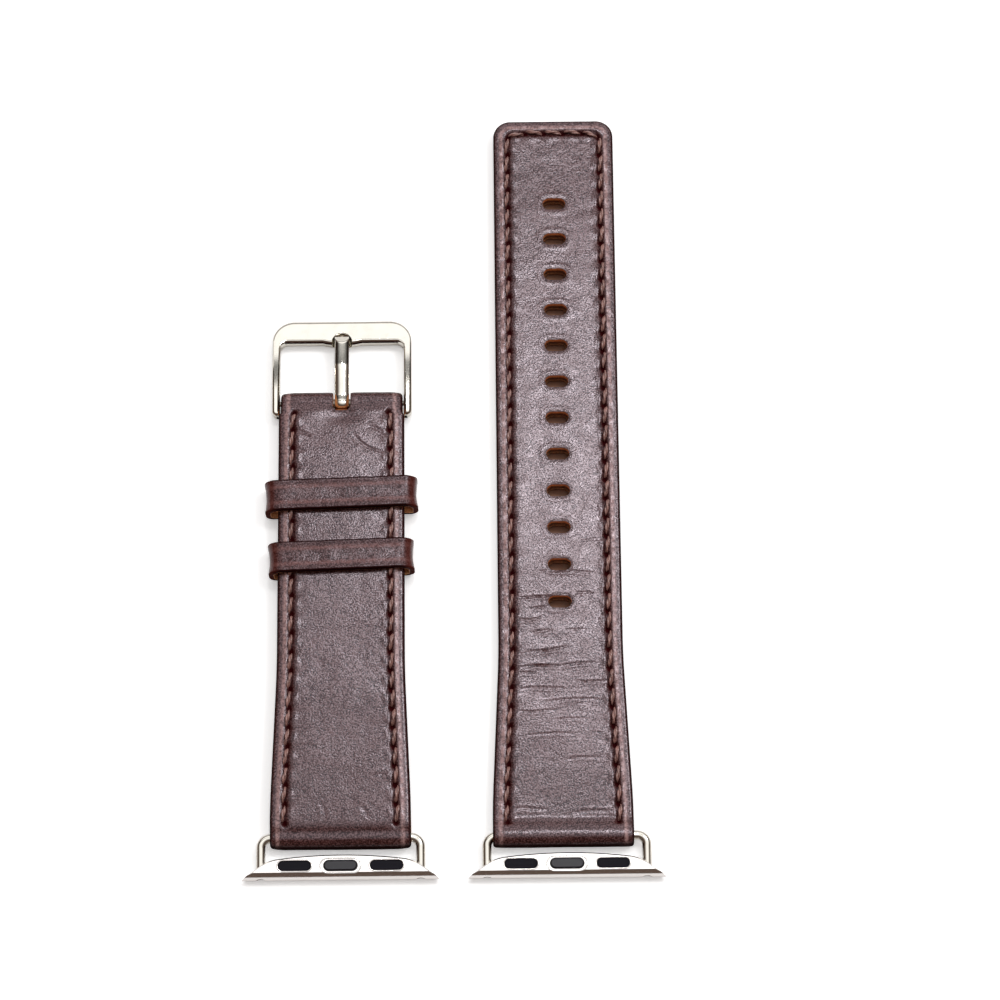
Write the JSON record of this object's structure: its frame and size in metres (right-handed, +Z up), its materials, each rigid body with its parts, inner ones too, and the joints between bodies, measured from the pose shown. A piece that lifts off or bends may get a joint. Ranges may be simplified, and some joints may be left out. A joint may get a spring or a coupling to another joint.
{
  "type": "watch strap",
  "caption": "Leather watch strap in halves, with a pin buckle, sliding keepers and slide-in lug adapters hinged on hoops.",
  "frame": {"origin": "centre of the bounding box's base, on the surface that both halves lie on", "axes": "+X across the halves from the buckle half to the half with the holes, +Y along them from the lugs to the tip, +Z up out of the grain side"},
  "size_m": [0.0664, 0.1276, 0.0055],
  "materials": {
    "grain_leather": "semi-gloss oiled grain",
    "lining_leather": "matt",
    "core_leather": "raw edge",
    "thread": "waxed thread",
    "polished_steel": "mirror polish",
    "lug_steel": "satin",
    "bar_steel": "plain",
    "pad_rubber": "matt",
    "button_black": "semi-gloss"
  },
  "bodies": {
    "short_strap": {"short_outer_leather": "grain_leather", "short_filler": "core_leather", "short_lining": "lining_leather", "short_stitching": "thread"},
    "buckle": {"buckle_frame": "polished_steel", "spring_bar_tube": "bar_steel", "spring_bar_spring": "bar_steel"},
    "tongue": {"buckle_tongue": "polished_steel"},
    "spring_bar_pin_left": {"spring_bar_pin_left": "bar_steel"},
    "spring_bar_pin_right": {"spring_bar_pin_right": "bar_steel"},
    "upper_keeper": {"upper_keeper": "grain_leather"},
    "lower_keeper": {"lower_keeper": "grain_leather"},
    "short_lug": {"short_lug_bar": "lug_steel", "short_hoop": "polished_steel", "short_hoop_screw_left": "lug_steel", "short_hoop_screw_right": "lug_steel", "short_lug_pad_left": "pad_rubber", "short_lug_pad_right": "pad_rubber", "short_lock_cover": "lug_steel", "short_lock_leaf_spring": "bar_steel"},
    "short_lock_button": {"short_lock_button": "button_black"},
    "long_strap": {"long_outer_leather": "grain_leather", "long_filler": "core_leather", "long_lining": "lining_leather", "long_stitching": "thread"},
    "long_lug": {"long_lug_bar": "lug_steel", "long_hoop": "polished_steel", "long_hoop_screw_left": "lug_steel", "long_hoop_screw_right": "lug_steel", "long_lug_pad_left": "pad_rubber", "long_lug_pad_right": "pad_rubber", "long_lock_cover": "lug_steel", "long_lock_leaf_spring": "bar_steel"},
    "long_lock_button": {"long_lock_button": "button_black"}
  },
  "joints": [
    {"name": "buckle_hinge", "type": "hinge", "parent": "short_strap", "child": "buckle", "pos_m": [-0.0177, 0.0147, 0.00185], "axis": [1, 0, 0], "range_deg": [-80, 45]},
    {"name": "tongue_hinge", "type": "hinge", "parent": "buckle", "child": "tongue", "pos_m": [-0.0177, 0.0147, 0.00185], "axis": [1, 0, 0], "range_deg": [0, 50]},
    {"name": "spring_bar_pin_left_slide", "type": "slide", "parent": "buckle", "child": "spring_bar_pin_left", "axis": [1, 0, 0], "range_m": [0, 0.0011], "stiffness_N_per_m": 800, "springref_m": -0.001, "deforming": ["spring_bar_spring"]},
    {"name": "spring_bar_pin_right_slide", "type": "slide", "parent": "buckle", "child": "spring_bar_pin_right", "axis": [-1, 0, 0], "range_m": [0, 0.0011], "stiffness_N_per_m": 800, "springref_m": -0.001, "deforming": ["spring_bar_spring"]},
    {"name": "upper_keeper_slide", "type": "slide", "parent": "short_strap", "child": "upper_keeper", "axis": [0, 1, 0], "range_m": [-0.0025, 0.0109]},
    {"name": "lower_keeper_slide", "type": "slide", "parent": "short_strap", "child": "lower_keeper", "axis": [0, 1, 0], "range_m": [-0.019, 0.0025]},
    {"name": "short_lug_hinge", "type": "hinge", "parent": "short_strap", "child": "short_lug", "pos_m": [-0.0177, -0.0572, 0.00183], "axis": [1, 0, 0], "range_deg": [-90, 90]},
    {"name": "short_lock_press", "type": "slide", "parent": "short_lug", "child": "short_lock_button", "axis": [0, 0, -1], "range_m": [0, 0.0004], "stiffness_N_per_m": 400, "springref_m": -0.001, "deforming": ["short_lock_leaf_spring"]},
    {"name": "long_strap_lift", "type": "slide", "parent": "short_strap", "child": "long_strap", "axis": [0, 0, 1], "range_m": [0, 0.05]},
    {"name": "long_lug_hinge", "type": "hinge", "parent": "long_strap", "child": "long_lug", "pos_m": [0.0177, -0.0572, 0.00183], "axis": [1, 0, 0], "range_deg": [-90, 90]},
    {"name": "long_lock_press", "type": "slide", "parent": "long_lug", "child": "long_lock_button", "axis": [0, 0, -1], "range_m": [0, 0.0004], "stiffness_N_per_m": 400, "springref_m": -0.001, "deforming": ["long_lock_leaf_spring"]}
  ]
}
